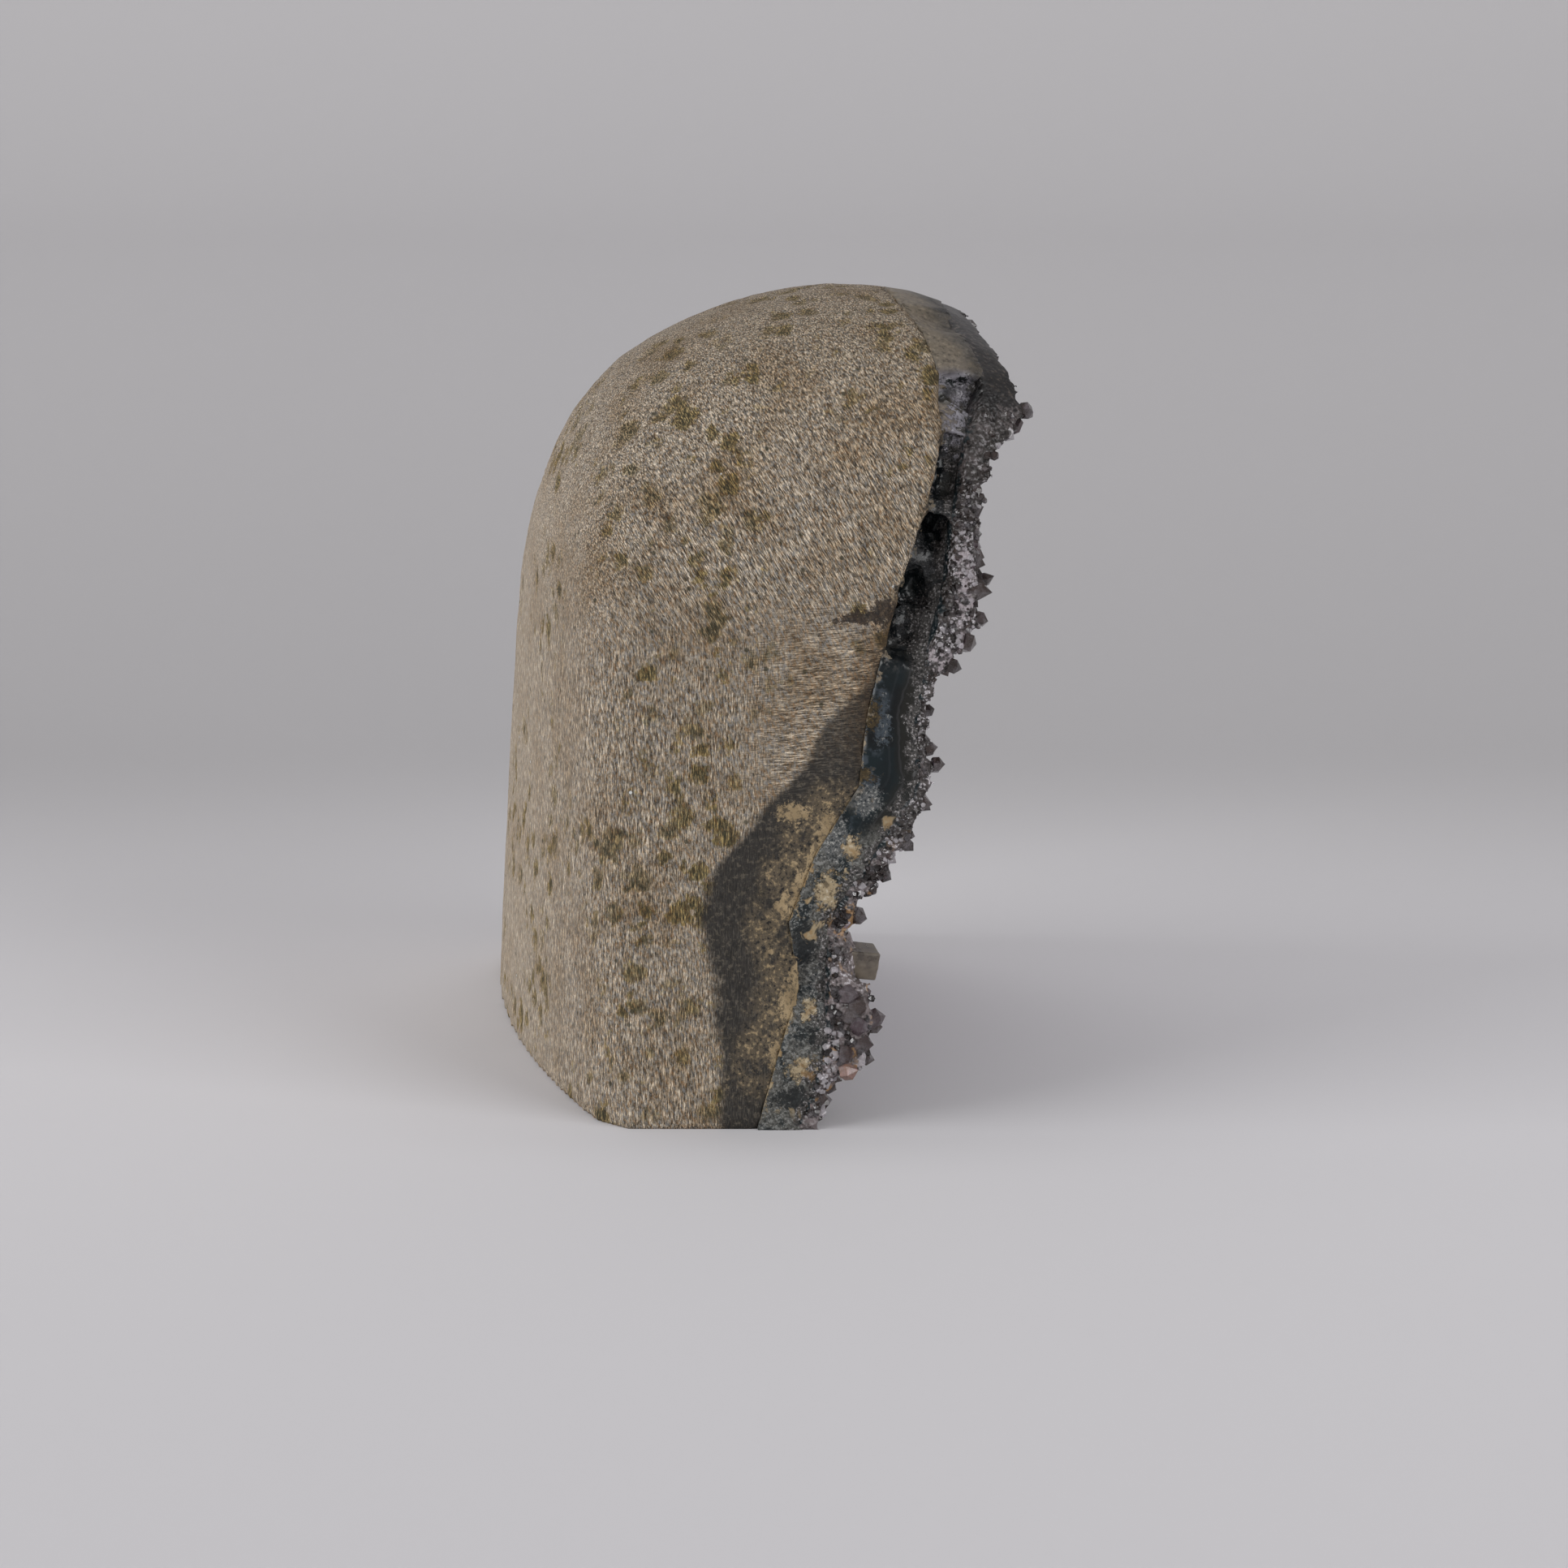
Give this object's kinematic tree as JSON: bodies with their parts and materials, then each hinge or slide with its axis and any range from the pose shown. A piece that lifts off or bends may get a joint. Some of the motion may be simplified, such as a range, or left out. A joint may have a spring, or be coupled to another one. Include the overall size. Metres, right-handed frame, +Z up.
{
  "type": "amethyst druzy",
  "caption": "Free-standing amethyst druzy: a ground basalt block on a sawn flat base, with a dark agate band and a crust of small amethyst points on one side.",
  "frame": {"origin": "on the sawn base plane, under the middle of the specimen's box", "axes": "+Z up from the sawn base, +X out of the crystal face, Y along the width of the crystal face"},
  "size_m": [0.0708, 0.104, 0.0999],
  "materials": {
    "basalt": "matte",
    "agate": "satin",
    "amethyst": "gloss"
  },
  "bodies": {
    "root": {"host_rock": "basalt", "agate_band": "agate", "amethyst_crust": "amethyst"}
  },
  "joints": []
}
